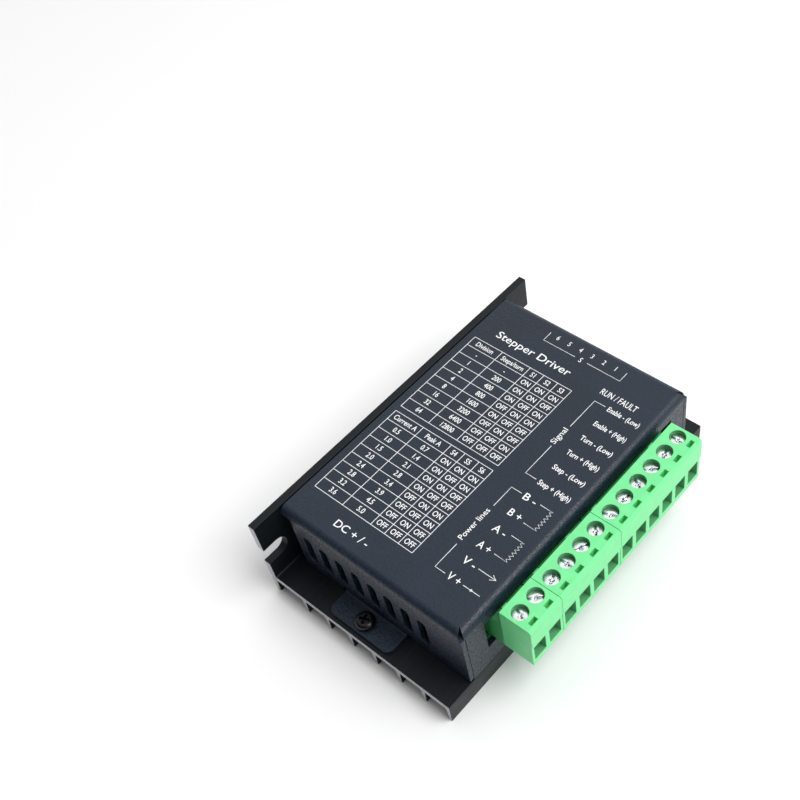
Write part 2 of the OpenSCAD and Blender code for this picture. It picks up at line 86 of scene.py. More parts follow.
class EdgeSettings(bpy.types.PropertyGroup):
    """Radii of the rounded edges"""

    sheet: bpy.props.FloatProperty(
        name="Sheet edge",
        description="Rounding of the cover's sheet edges",
        default=0.12 * MM,
        unit="LENGTH",
        precision=6,
    )
    extrusion: bpy.props.FloatProperty(
        name="Extrusion edge",
        description="Rounding of the heat sink's edges",
        default=0.12 * MM,
        unit="LENGTH",
        precision=6,
    )
    moulding: bpy.props.FloatProperty(
        name="Moulding edge",
        description="Rounding of the green mouldings",
        default=0.07 * MM,
        unit="LENGTH",
        precision=6,
    )
    small: bpy.props.FloatProperty(
        name="Small part edge",
        description="Rounding of chips, screws and pins",
        default=0.06 * MM,
        unit="LENGTH",
        precision=6,
    )


class FinishSettings(bpy.types.PropertyGroup):
    """Colours of the finishes"""

    cover: bpy.props.FloatVectorProperty(
        name="Cover", description="Powder coat on the cover", default=(0.006, 0.014, 0.029), subtype="COLOR"
    )
    anodised: bpy.props.FloatVectorProperty(
        name="Heat sink", description="Black anodising", default=(0.0035, 0.0055, 0.0075), subtype="COLOR"
    )
    sawn: bpy.props.FloatVectorProperty(
        name="Sawn ends",
        description="Sawn ends of the extrusion",
        default=(0.42, 0.42, 0.45),
        subtype="COLOR",
    )
    plug: bpy.props.FloatVectorProperty(
        name="Plugs", description="Light green moulding", default=(0.165, 0.74, 0.285), subtype="COLOR"
    )
    header: bpy.props.FloatVectorProperty(
        name="Headers", description="Darker green moulding", default=(0.05, 0.34, 0.10), subtype="COLOR"
    )
    ink: bpy.props.FloatVectorProperty(
        name="Print", description="White print on the cover", default=(0.93, 0.94, 0.95), subtype="COLOR"
    )


class PrintSettings(bpy.types.PropertyGroup):
    """Sizes of the print on the cover"""

    line: bpy.props.FloatProperty(
        name="Line", description="Width of the printed lines", default=0.2 * MM, unit="LENGTH", precision=6
    )
    row: bpy.props.FloatProperty(
        name="Row", description="Height of a table row", default=3.03 * MM, unit="LENGTH", precision=6
    )
    cell_text: bpy.props.FloatProperty(
        name="Table letters",
        description="Height of the letters in the tables",
        default=1.5 * MM,
        unit="LENGTH",
        precision=6,
    )
    title_text: bpy.props.FloatProperty(
        name="Title letters",
        description="Height of the title's letters",
        default=2.3 * MM,
        unit="LENGTH",
        precision=6,
    )
    ink_thickness: bpy.props.FloatProperty(
        name="Ink", description="Thickness of the print", default=0.02 * MM, unit="LENGTH", precision=6
    )


class StageSettings(bpy.types.PropertyGroup):
    """Camera and studio"""

    azimuth: bpy.props.FloatProperty(
        name="Azimuth", description="Camera's direction", default=math.radians(-43.84), subtype="ANGLE"
    )
    elevation: bpy.props.FloatProperty(
        name="Elevation", description="Camera's height angle", default=math.radians(52.81), subtype="ANGLE"
    )
    roll: bpy.props.FloatProperty(
        name="Roll", description="Camera's tilt", default=math.radians(-8.13), subtype="ANGLE"
    )
    distance: bpy.props.FloatProperty(
        name="Distance", description="Camera's distance", default=0.2744, unit="LENGTH"
    )
    lens: bpy.props.FloatProperty(name="Lens", description="Focal length in millimetres", default=51.2)


# ---------------------------------------------------------------- modelling helpers


def deselect():
    if bpy.context.object is not None and bpy.context.object.mode != "OBJECT":
        bpy.ops.object.mode_set(mode="OBJECT")
    bpy.ops.object.select_all(action="DESELECT")


def activate(piece):
    deselect()
    piece.select_set(True)
    bpy.context.view_layer.objects.active = piece


def apply_place(piece):
    """Puts the piece's place, turn and scale into its mesh."""
    activate(piece)
    bpy.ops.object.transform_apply(location=True, rotation=True, scale=True)


def add_modifier(piece, kind, **values):
    """Adds a modifier with the operator, sets it and applies it."""
    activate(piece)
    bpy.ops.object.modifier_add(type=kind)
    modifier = piece.modifiers[-1]
    for name, value in values.items():
        setattr(modifier, name, value)
    bpy.ops.object.modifier_apply(modifier=modifier.name)


def join(pieces, name):
    """Joins the pieces into one mesh."""
    activate(pieces[0])
    for piece in pieces[1:]:
        piece.select_set(True)
    if len(pieces) > 1:
        bpy.ops.object.join()
    pieces[0].name = name
    pieces[0].data.name = name
    return pieces[0]


def set_material(piece, material):
    piece.data.materials.clear()
    piece.data.materials.append(material)


def rounded_copy(node, width, segments=2):
    """A merged copy of a CAD node with its sharp edges rounded. It stands for the node on its body."""
    source = frame["nodes"][node]
    piece = bpy.data.objects.new(node + "_rounded", source.data.copy())
    bpy.context.scene.collection.objects.link(piece)
    activate(piece)
    bpy.ops.object.mode_set(mode="EDIT")
    bpy.ops.mesh.select_all(action="SELECT")
    bpy.ops.mesh.remove_doubles(threshold=1e-6)
    bpy.ops.mesh.dissolve_limited(angle_limit=math.radians(0.6))
    bpy.ops.object.mode_set(mode="OBJECT")
    add_modifier(
        piece,
        "BEVEL",
        width=width,
        segments=segments,
        limit_method="ANGLE",
        angle_limit=SHARP,
        use_clamp_overlap=False,
    )
    activate(piece)
    bpy.ops.object.shade_smooth_by_angle(angle=SHARP)
    add_modifier(piece, "WEIGHTED_NORMAL", keep_sharp=True)
    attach(piece, source["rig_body"])
    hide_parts(node)
    return piece


# ---------------------------------------------------------------- finishes


def start_material(name, color, roughness, metallic=0.0):
    """A new material with its shader, and the object coordinates that its patterns read."""
    material = bpy.data.materials.new(name)
    material.use_nodes = True
    nodes = material.node_tree.nodes
    shader = nodes["Principled BSDF"]
    shader.inputs["Base Color"].default_value = (*color, 1.0)
    shader.inputs["Roughness"].default_value = roughness
    shader.inputs["Metallic"].default_value = metallic
    coords = nodes.new("ShaderNodeTexCoord")
    return material, shader, coords.outputs["Object"]


def stretched(material, coords, scale):
    """Coordinates stretched along an axis, for brushed or drawn patterns."""
    mapping = material.node_tree.nodes.new("ShaderNodeMapping")
    mapping.inputs["Scale"].default_value = scale
    material.node_tree.links.new(coords, mapping.inputs["Vector"])
    return mapping.outputs["Vector"]


def noise(material, coords, scale, detail=2.0, roughness=0.5):
    node = material.node_tree.nodes.new("ShaderNodeTexNoise")
    node.inputs["Scale"].default_value = scale
    node.inputs["Detail"].default_value = detail
    node.inputs["Roughness"].default_value = roughness
    material.node_tree.links.new(coords, node.inputs["Vector"])
    return node.outputs["Fac"]


def ramp(material, value, stops):
    """A colour or grey ramp: stops are (place, colour)."""
    node = material.node_tree.nodes.new("ShaderNodeValToRGB")
    elements = node.color_ramp.elements
    while len(elements) < len(stops):
        elements.new(0.5)
    for element, (place, color) in zip(elements, stops):
        element.position = place
        element.color = (*color, 1.0) if len(color) == 3 else (color[0],) * 3 + (1.0,)
    material.node_tree.links.new(value, node.inputs["Fac"])
    return node.outputs["Color"]


def tint(color, factor):
    return tuple(min(1.0, c * factor) for c in color)


def bump(material, shader, height, distance, strength=1.0, under=None):
    node = material.node_tree.nodes.new("ShaderNodeBump")
    node.inputs["Strength"].default_value = strength
    node.inputs["Distance"].default_value = distance
    material.node_tree.links.new(height, node.inputs["Height"])
    if under is not None:
        material.node_tree.links.new(under, node.inputs["Normal"])
    material.node_tree.links.new(node.outputs["Normal"], shader.inputs["Normal"])
    return node.outputs["Normal"]


def link(material, output, socket):
    material.node_tree.links.new(output, socket)


def powder_coat():
    """Fine textured powder coat: slate black with a grain that sparkles where the sheet bends."""
    color = tuple(bpy.context.scene.driver_finish.cover)
    material, shader, coords = start_material("cover_powder_coat", color, 0.5)
    grain = noise(material, coords, 2600.0, 3.0, 0.65)
    cloud = noise(material, coords, 60.0, 3.0)
    link(
        material,
        ramp(material, cloud, [(0.3, tint(color, 0.86)), (0.7, tint(color, 1.16))]),
        shader.inputs["Base Color"],
    )
    link(material, ramp(material, grain, [(0.40, (0.58,)), (0.60, (0.24,))]), shader.inputs["Roughness"])
    shader.inputs["Specular IOR Level"].default_value = 0.42
    first = bump(material, shader, noise(material, coords, 1300.0, 2.0), 0.00012, 0.8)
    bump(material, shader, grain, 0.00006, 0.8, first)
    return material


def anodised_black():
    """Black anodised extrusion with die lines along X."""
    color = tuple(bpy.context.scene.driver_finish.anodised)
    material, shader, coords = start_material("anodised_black", color, 0.42)
    shader.inputs["Specular IOR Level"].default_value = 0.22
    lines = noise(material, stretched(material, coords, (4.0, 900.0, 900.0)), 1.0, 4.0, 0.6)
    cloud = noise(material, coords, 120.0, 4.0)
    shades = ramp(material, lines, [(0.3, tint(color, 0.8)), (0.75, tint(color, 1.9))])
    link(material, shades, shader.inputs["Base Color"])
    link(material, ramp(material, cloud, [(0.3, (0.36,)), (0.75, (0.52,))]), shader.inputs["Roughness"])
    bump(material, shader, lines, 0.00002, 0.5)
    return material


def sawn_metal():
    """Sawn ends of the extrusion, with arcs left by the blade."""
    color = tuple(bpy.context.scene.driver_finish.sawn)
    material, shader, coords = start_material("sawn_metal", color, 0.42, 0.75)
    arcs = noise(material, stretched(material, coords, (1.0, 250.0, 5000.0)), 1.0, 3.0, 0.6)
    shades = ramp(material, arcs, [(0.3, tint(color, 0.75)), (0.7, tint(color, 1.15))])
    link(material, shades, shader.inputs["Base Color"])
    link(material, ramp(material, arcs, [(0.3, (0.36,)), (0.7, (0.55,))]), shader.inputs["Roughness"])
    bump(material, shader, arcs, 0.00002, 0.5)
    return material


def moulded(name, color, roughness=0.42, glow=0.0):
    """Moulded polyamide: a slight mottle, a fine spark-eroded grain and a soft sheen."""
    material, shader, coords = start_material(name, color, roughness)
    mottle = noise(material, coords, 350.0, 3.0)
    grain = noise(material, coords, 5200.0, 2.0)
    shades = ramp(material, mottle, [(0.3, tint(color, 0.94)), (0.7, tint(color, 1.05))])
    link(material, shades, shader.inputs["Base Color"])
    link(
        material,
        ramp(material, mottle, [(0.3, (roughness - 0.06,)), (0.7, (roughness + 0.08,))]),
        shader.inputs["Roughness"],
    )
    shader.inputs["Subsurface Weight"].default_value = glow
    shader.inputs["Subsurface Radius"].default_value = (0.3, 1.0, 0.4)
    shader.inputs["Subsurface Scale"].default_value = 0.0012
    bump(material, shader, grain, 0.000012, 0.35)
    return material


def plated(name, color, roughness, grain_scale=900.0):
    """Plated or turned metal with fine scratches."""
    material, shader, coords = start_material(name, color, roughness, 1.0)
    scratches = noise(material, stretched(material, coords, (1.0, 0.12, 1.0)), grain_scale, 3.0, 0.6)
    cloud = noise(material, coords, 500.0, 3.0)
    shades = ramp(material, cloud, [(0.3, tint(color, 0.82)), (0.7, tint(color, 1.08))])
    link(material, shades, shader.inputs["Base Color"])
    link(
        material,
        ramp(material, scratches, [(0.3, (roughness * 0.75,)), (0.7, (roughness * 1.35,))]),
        shader.inputs["Roughness"],
    )
    bump(material, shader, scratches, 0.000003, 0.2)
    return material


def white_ink():
    color = tuple(bpy.context.scene.driver_finish.ink)
    material, shader, coords = start_material("white_ink", color, 0.5)
    patches = noise(material, coords, 2500.0, 3.0)
    shades = ramp(material, patches, [(0.25, tint(color, 0.72)), (0.55, color)])
    link(material, shades, shader.inputs["Base Color"])
    return material


def lens(name, color):
    """Tinted clear lens."""
    material, shader, coords = start_material(name, color, 0.12)
    shader.inputs["Transmission Weight"].default_value = 0.35
    shader.inputs["IOR"].default_value = 1.5
    haze = noise(material, coords, 900.0, 2.0)
    shades = ramp(material, haze, [(0.3, tint(color, 0.8)), (0.7, tint(color, 1.1))])
    link(material, shades, shader.inputs["Base Color"])
    return material


def board_mask():
    """Green solder mask over a faint pattern of tracks."""
    color = (0.012, 0.10, 0.035)
    material, shader, coords = start_material("board_mask", color, 0.3)
    tracks = noise(material, stretched(material, coords, (300.0, 900.0, 1.0)), 1.0, 1.0)
    link(
        material,
        ramp(material, tracks, [(0.48, color), (0.52, (0.025, 0.17, 0.06))]),
        shader.inputs["Base Color"],
    )
    bump(material, shader, tracks, 0.00003, 0.3)
    return material


# ---------------------------------------------------------------- operators: metalwork


class DRIVER_OT_heatsink(bpy.types.Operator):
    """Heat sink: rounded extrusion edges, anodised faces and sawn ends"""

    bl_idname = "driver.heatsink"
    bl_label = "Heat sink"

    def execute(self, context):
        sink = rounded_copy("heatsink", context.scene.driver_edges.extrusion)
        set_material(sink, anodised_black())
        sink.data.materials.append(sawn_metal())
        for face in sink.data.polygons:
            at_end = abs(abs(face.center.x) - SINK_HIGH.x) < 0.05 * MM
            face.material_index = 1 if at_end and abs(face.normal.x) > 0.95 else 0
        return {"FINISHED"}


class DRIVER_OT_cover(bpy.types.Operator):
    """Folded cover with its vents, window and tabs"""

    bl_idname = "driver.cover"
    bl_label = "Cover"

    def execute(self, context):
        cover = rounded_copy("cover", context.scene.driver_edges.sheet)
        set_material(cover, powder_coat())
        return {"FINISHED"}


class DRIVER_OT_fasteners(bpy.types.Operator):
    """Cover screws, board screws and standoffs"""

    bl_idname = "driver.fasteners"
    bl_label = "Fasteners"

    def execute(self, context):
        small = context.scene.driver_edges.small
        set_material(rounded_copy("cover_screws", small), plated("black_oxide", (0.035, 0.035, 0.04), 0.24))
        zinc = plated("board_screw_zinc", (0.74, 0.76, 0.78), 0.28)
        brass = plated("standoff_brass", (0.66, 0.47, 0.18), 0.26)
        set_material(rounded_copy("board_screws", small), zinc)
        set_material(rounded_copy("board_standoffs", small), brass)
        return {"FINISHED"}


# ---------------------------------------------------------------- operators: board


class DRIVER_OT_board(bpy.types.Operator):
    """Circuit board and the parts soldered to it"""

    bl_idname = "driver.board"
    bl_label = "Circuit board"

    def execute(self, context):
        small = context.scene.driver_edges.small
        set_material(rounded_copy("circuit_board", small), board_mask())
        epoxy = moulded("chip_epoxy", (0.016, 0.016, 0.018), 0.55)
        for node in ("driver_chip", "regulator", "logic_chip", "optocouplers", "sense_resistors"):
            set_material(rounded_copy(node, 0.03 * MM, 1), epoxy)
        set_material(rounded_copy("thermal_pad", small), moulded("thermal_silicone", (0.28, 0.34, 0.48), 0.7))
        set_material(rounded_copy("heat_spreader", small), plated("milled_block", (0.72, 0.73, 0.75), 0.3))
        sleeve = moulded("capacitor_sleeve", (0.02, 0.025, 0.04), 0.25)
        set_material(rounded_copy("input_capacitors", small), sleeve)
        set_material(rounded_copy("inductor", small), moulded("ferrite", (0.035, 0.036, 0.04), 0.6))
        set_material(rounded_copy("header_pins", small, 1), plated("tinned_pins", (0.78, 0.76, 0.70), 0.25))
        return {"FINISHED"}


class DRIVER_OT_lamps(bpy.types.Operator):
    """Power and alarm lamps"""

    bl_idname = "driver.lamps"
    bl_label = "Lamps"

    def execute(self, context):
        small = context.scene.driver_edges.small
        set_material(rounded_copy("power_lamp", small), lens("lamp_green", (0.10, 0.75, 0.20)))
        set_material(rounded_copy("alarm_lamp", small), lens("lamp_red", (0.80, 0.05, 0.04)))
        return {"FINISHED"}


class DRIVER_OT_switches(bpy.types.Operator):
    """Red switch block and its six white sliders"""

    bl_idname = "driver.switches"
    bl_label = "Switch block"

    def execute(self, context):
        small = context.scene.driver_edges.small
        set_material(rounded_copy("switch_block", small), moulded("switch_red", (0.52, 0.018, 0.022), 0.35))
        white = moulded("slider_white", (0.80, 0.80, 0.77), 0.4)
        for i in range(1, 7):
            set_material(rounded_copy(f"switch_slider_{i}", small), white)
        return {"FINISHED"}


# ---------------------------------------------------------------- operators: terminals


def add_cylinder(radius, low, high, segments=48):
    deselect()
    bpy.ops.mesh.primitive_cylinder_add(
        vertices=segments, radius=radius, depth=high - low, location=(0, 0, (low + high) / 2)
    )
    return bpy.context.object


def add_block(size, place, turn=0.0):
    deselect()
    bpy.ops.mesh.primitive_cube_add(size=1.0, location=place, rotation=(0, 0, turn))
    block = bpy.context.object
    block.scale = size
    apply_place(block)
    return block


def select_faces(piece, keep):
    """Leaves the piece in edit mode with only the faces selected for which keep(face) is true."""
    activate(piece)
    bpy.ops.object.mode_set(mode="EDIT")
    bpy.ops.mesh.select_mode(type="FACE")
    bpy.ops.mesh.select_all(action="DESELECT")
    bpy.ops.object.mode_set(mode="OBJECT")
    for face in piece.data.polygons:
        face.select = keep(face)
    bpy.ops.object.mode_set(mode="EDIT")


def cut_with(piece, cutter):
    """Cuts the cutter out of the piece and drops the cutter."""
    add_modifier(piece, "BOOLEAN", operation="DIFFERENCE", object=cutter, solver="EXACT")
    bpy.data.objects.remove(cutter)


def terminal_screw_pattern():
    """Cheese-head screw with a slot and a cross in it, its head's top at the origin."""
    low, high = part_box("terminal_screw_1")
    radius = (high.x - low.x) / 2
    head = 1.5 * MM
    shank = 1.45 * MM
    screw = add_cylinder(radius, -head, 0.0)
    apply_place(screw)
    # shank drawn out of the head's underside, with a chamfered end
    select_faces(screw, lambda face: face.normal.z < -0.9)
    bpy.ops.mesh.inset(thickness=radius - shank)
    chamfer = 0.3 * MM
    down = low.z - high.z + head + chamfer
    bpy.ops.mesh.extrude_region_move(TRANSFORM_OT_translate={"value": (0, 0, down)})
    bpy.ops.mesh.extrude_region_move(TRANSFORM_OT_translate={"value": (0, 0, -chamfer)})
    bpy.ops.transform.resize(value=(0.8, 0.8, 1.0))
    bpy.ops.object.mode_set(mode="OBJECT")
    slot = add_block((2 * radius + 1 * MM, 0.6 * MM, 1.6 * MM), (0, 0, 0))
    cut_with(screw, slot)
    # the cross is a tapered arm across the slot
    cross = add_block((0.6 * MM, 1.7 * MM, 2.0 * MM), (0, 0, 0))
    select_faces(cross, lambda face: face.normal.z < -0.9)
    bpy.ops.transform.resize(value=(0.6, 0.45, 1.0))
    bpy.ops.object.mode_set(mode="OBJECT")
    cut_with(screw, cross)
    edge = math.radians(40)
    add_modifier(screw, "BEVEL", width=0.08 * MM, segments=2, limit_method="ANGLE", angle_limit=edge)
    activate(screw)
    bpy.ops.object.shade_smooth_by_angle(angle=edge)
    return screw


class DRIVER_OT_headers(bpy.types.Operator):
    """Board headers that the plugs push onto"""

    bl_idname = "driver.headers"
    bl_label = "Headers"

    def execute(self, context):
        green = moulded("header_green", tuple(context.scene.driver_finish.header))
        for size in PLUGS:
            set_material(rounded_copy(f"header_{size}", 0.1 * MM), green)
        return {"FINISHED"}


def inside_pole(place, plug_box, screw_boxes):
    """Whether a place on a plug is in the screw well or the wire funnel of one of its poles."""
    plug_low, plug_high = plug_box
    well_reach = 2.1 * MM
    funnel_reach = 2.2 * MM
    for low, high in screw_boxes:
        across = abs(place.x - (low.x + high.x) / 2)
        if across < well_reach and low.y - 0.3 * MM < place.y < high.y + 0.3 * MM:
            if high.z - 3 * MM < place.z < plug_high.z - 0.25 * MM:
                return True
        # the plug's lower front stands back a little, so the funnels start behind it
        if across < funnel_reach and plug_low.y + 0.6 * MM < place.y < low.y:
            if plug_low.z + 1 * MM < place.z < plug_low.z + 7.6 * MM:
                return True
    return False


class DRIVER_OT_plugs(bpy.types.Operator):
    """Terminal plugs and their contacts"""

    bl_idname = "driver.plugs"
    bl_label = "Plugs"

    def execute(self, context):
        color = tuple(context.scene.driver_finish.plug)
        green = moulded("plug_green", color, 0.38, 0.03)
        # painted shade: a darker copy of the plug green, standing in for the shadow inside the screw wells
        # and wire funnels
        painted_shade_green = moulded("plug_green_painted_shade", tint(color, 0.42), 0.5)
        tin = plated("contact_tin", (0.78, 0.75, 0.66), 0.28)
        for size in PLUGS:
            plug = rounded_copy(f"plug_{size}", context.scene.driver_edges.moulding)
            set_material(plug, green)
            plug.data.materials.append(painted_shade_green)
            first, last = PLUGS[size]
            plug_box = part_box(f"plug_{size}")
            screw_boxes = [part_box(f"terminal_screw_{i}") for i in range(first, last + 1)]
            # faces in the screw wells and wire funnels take the darker green, which is painted shade
            for face in plug.data.polygons:
                face.material_index = 1 if inside_pole(face.center, plug_box, screw_boxes) else 0
            set_material(rounded_copy(f"contacts_{size}", context.scene.driver_edges.small, 1), tin)
        return {"FINISHED"}


class DRIVER_OT_terminals(bpy.types.Operator):
    """Terminal screws and the clamp cages that they raise"""

    bl_idname = "driver.terminals"
    bl_label = "Terminal screws"

    def execute(self, context):
        small = context.scene.driver_edges.small
        zinc = plated("terminal_zinc", (0.90, 0.94, 0.98), 0.24, 300.0)
        cage = plated("cage_zinc", (0.70, 0.72, 0.74), 0.32)
        pattern = terminal_screw_pattern()
        for i in range(1, POLES + 1):
            screw = bpy.data.objects.new(f"terminal_screw_{i}_slotted", pattern.data.copy())
            context.scene.collection.objects.link(screw)
            low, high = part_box(f"terminal_screw_{i}")
            screw.location = ((low.x + high.x) / 2, (low.y + high.y) / 2, high.z)
            screw.rotation_euler.z = math.radians((i * 67) % 180)
            apply_place(screw)
            set_material(screw, zinc)
            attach(screw, f"terminal_screw_{i}")
            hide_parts(f"terminal_screw_{i}")
            set_material(rounded_copy(f"clamp_cage_{i}", small), cage)
        bpy.data.objects.remove(pattern)
        return {"FINISHED"}


# ---------------------------------------------------------------- operators: print

# Places on the cover are (across, along) in metres from the middle of the heat sink:
# across runs towards the terminal side and along runs towards the switch end.
PRINT_MIDDLE = Vector((0.0, (SINK_LOW.y + SINK_HIGH.y) / 2, COVER_HIGH.z))
COLUMNS = (8.9, 8.8, 4.2, 4.2, 4.15)
TABLE_LEFT = -23.85
TABLE_TOPS = (25.0, -4.0)
STEP_ROWS = [
    ("Division", "Steps/turn", "S1", "S2", "S3"),
    ("-", "-", "ON", "ON", "ON"),
    ("1", "200", "ON", "ON", "OFF"),
    ("2", "400", "ON", "OFF", "ON"),
    ("4", "800", "OFF", "ON", "ON"),
    ("8", "1600", "ON", "OFF", "OFF"),
    ("16", "3200", "OFF", "ON", "OFF"),
    ("32", "6400", "OFF", "OFF", "ON"),
    ("64", "12800", "OFF", "OFF", "OFF"),
]
CURRENT_ROWS = [
    ("Current A", "Peak A", "S4", "S5", "S6"),
    ("0.5", "0.7", "ON", "ON", "ON"),
    ("1.0", "1.4", "ON", "OFF", "ON"),
    ("1.5", "2.1", "ON", "ON", "OFF"),
    ("2.0", "2.8", "ON", "OFF", "OFF"),
    ("2.4", "3.4", "OFF", "ON", "ON"),
    ("2.8", "3.9", "OFF", "OFF", "ON"),
    ("3.2", "4.5", "OFF", "ON", "OFF"),
    ("3.6", "5.0", "OFF", "OFF", "OFF"),
]


def printed_text(words, across, along, height, width=None, upright=True, bold=0.004):
    """One line of print as a thin mesh, centred on (across, along) in millimetres."""
    deselect()
    bpy.ops.object.text_add()
    text = bpy.context.object
    text.data.body = words
    text.data.align_x = "CENTER"
    text.data.align_y = "CENTER"
    text.data.extrude = 0.01
    text.data.offset = bold
    text.data.resolution_u = 3
    bpy.ops.object.convert(target="MESH")
    text = bpy.context.object
    xs = [v.co.x for v in text.data.vertices]
    # capitals of the built-in font stand 0.73 of its size
    scale = height / 0.73
    stretch = width * MM / (max(xs) - min(xs)) if width else scale * 0.8
    text.scale = (stretch, scale, bpy.context.scene.driver_print.ink_thickness / 0.01)
    text.rotation_euler.z = -math.pi / 2 if upright else 0.0
    text.location = PRINT_MIDDLE + Vector((along * MM, -across * MM, 0.0))
    apply_place(text)
    return text


def printed_lines(routes, width):
    """Flat lines through lists of (across, along) points, in millimetres, as one mesh."""
    curve = bpy.data.curves.new("lines", "CURVE")
    curve.dimensions = "3D"
    curve.bevel_depth = width / 2
    curve.bevel_resolution = 0
    curve.use_fill_caps = True
    for route in routes:
        spline = curve.splines.new("POLY")
        spline.points.add(len(route) - 1)
        for point, (across, along) in zip(spline.points, route):
            point.co = (along * MM, -across * MM, 0.0, 1.0)
    lines = bpy.data.objects.new("lines", curve)
    bpy.context.scene.collection.objects.link(lines)
    activate(lines)
    bpy.ops.object.convert(target="MESH")
    lines = bpy.context.object
    lines.scale.z = 2 * bpy.context.scene.driver_print.ink_thickness / width
    lines.location = PRINT_MIDDLE
    apply_place(lines)
    return lines


def place_print(pieces, name, ink):
    piece = join(pieces, name)
    set_material(piece, ink)
    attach(piece, "base")
    return piece


def table_print(rows, top):
    """Grid lines and cell texts of one table."""
    settings = bpy.context.scene.driver_print
    row = settings.row / MM
    edges = [TABLE_LEFT + sum(COLUMNS[:k]) for k in range(len(COLUMNS) + 1)]
    bottom = top - row * len(rows)
    routes = [[(edge, top), (edge, bottom)] for edge in edges]
    routes += [[(edges[0], top - k * row), (edges[-1], top - k * row)] for k in range(len(rows) + 1)]
    pieces = [printed_lines(routes, settings.line)]
    for k, cells in enumerate(rows):
        for words, left, right in zip(cells, edges, edges[1:]):
            middle = (left + right) / 2
            pieces.append(printed_text(words, middle, top - (k + 0.5) * row, settings.cell_text, bold=0.009))
    return pieces


def coil_route(across, high, low):
    """A coil drawn as teeth between two leads, from (across, high) out and back to (across, low)."""
    out = across + 3.6
    teeth = 6
    step = (high - low) / (2 * teeth)
    route = [(across, high), (out, high)]
    for k in range(2 * teeth - 1):
        route.append((out + (-0.7 if k % 2 == 0 else 0.15), high - (k + 1) * step))
    return route + [(out, low), (across, low)]


class DRIVER_OT_print(bpy.types.Operator):
    """White tables, terminal letters and symbols on the cover"""

    bl_idname = "driver.print"
    bl_label = "Print"

    def execute(self, context):
        settings = context.scene.driver_print
        ink = white_ink()
        place_print(table_print(STEP_ROWS, TABLE_TOPS[0]), "step_table", ink)
        place_print(table_print(CURRENT_ROWS, TABLE_TOPS[1]), "current_table", ink)
        titles = [
            printed_text("Stepper Driver", -8.6, 29.0, settings.title_text, 22.6),
            printed_text("RUN / FAULT", 17.2, 29.0, 1.9 * MM, 10.2),
            printed_text("DC + / -", -7.9, -35.6, 2.0 * MM, 10.0),
        ]
        place_print(titles, "titles", ink)
        # switch numbers over their bracket, number 6 nearest the flange
        numbers = [printed_text(str(6 - k), -6.6 + 3.49 * k, 36.5, 1.5 * MM) for k in range(6)]
        numbers.append(printed_text("S", 2.2, 33.9, 1.6 * MM))
        bracket = [
            [(-9.3, 37.0), (-9.3, 34.0), (0.4, 34.0)],
            [(4.1, 34.0), (13.8, 34.0), (13.8, 37.0)],
        ]
        place_print(numbers + [printed_lines(bracket, settings.line)], "switch_numbers", ink)
        place_print(signal_print(settings), "signal_letters", ink)
        place_print(power_print(settings), "power_letters", ink)
        return {"FINISHED"}


def signal_print(settings):
    """Six signal terminals in a bracket, plus and minus of three pairs."""
    names = [f"{word} {end}" for word in ("Enable", "Turn", "Step") for end in ("- (Low)", "+ (High)")]
    places = [25.5, 20.3, 15.2, 10.1, 5.0, -0.3]
    pieces = []
    for name, along in zip(names, places):
        pieces.append(printed_text(name, 21.1, along, 1.5 * MM, 8.9, bold=0.012))
    pieces.append(printed_text("Signal", 12.4, 12.7, 1.5 * MM, 5.2, upright=False))
    bracket = [
        [(15.8, 25.7), (12.7, 25.7), (12.7, 16.3)],
        [(12.7, 9.3), (12.7, -0.1), (15.8, -0.1)],
    ]
    pieces.append(printed_lines(bracket, settings.line))
    return pieces


def power_print(settings):
    """Coil and supply terminals in a bracket, with their symbols."""
    names = ["B -", "B +", "A -", "A +", "V -", "V +"]
    places = [-5.2, -10.4, -15.6, -20.8, -25.7, -30.7]
    pieces = []
    for name, along in zip(names, places):
        pieces.append(printed_text(name, 18.1, along, 2.0 * MM, 3.4, bold=0.006))
    pieces.append(printed_text("Power lines", 12.4, -17.5, 1.5 * MM, 9.6, upright=False))
    lines = [
        [(15.6, -5.0), (12.7, -5.0), (12.7, -11.3)],
        [(12.7, -23.7), (12.7, -30.8), (15.6, -30.8)],
        coil_route(20.9, -5.0, -10.9),
        coil_route(20.9, -15.0, -20.8),
        [(20.6, -25.7), (25.4, -25.7)],
        [(24.2, -25.0), (25.5, -25.7), (24.2, -26.4)],
        [(20.6, -30.7), (25.2, -30.7)],
        [(22.8, -30.4), (23.1, -30.7), (22.8, -31.0), (22.5, -30.7), (22.8, -30.4)],
    ]
    pieces.append(printed_lines(lines, settings.line))
    return pieces


# ---------------------------------------------------------------- operators: stage


def add_area(name, place, target, size, power):
    deselect()
    bpy.ops.object.light_add(type="AREA", location=place)
    light = bpy.context.object
    light.name = name
    light.data.shape = "DISK"
    light.data.size = size
    light.data.energy = power
    light.rotation_mode = "QUATERNION"
    light.rotation_quaternion = (Vector(target) - Vector(place)).to_track_quat("-Z", "Y")
    return light


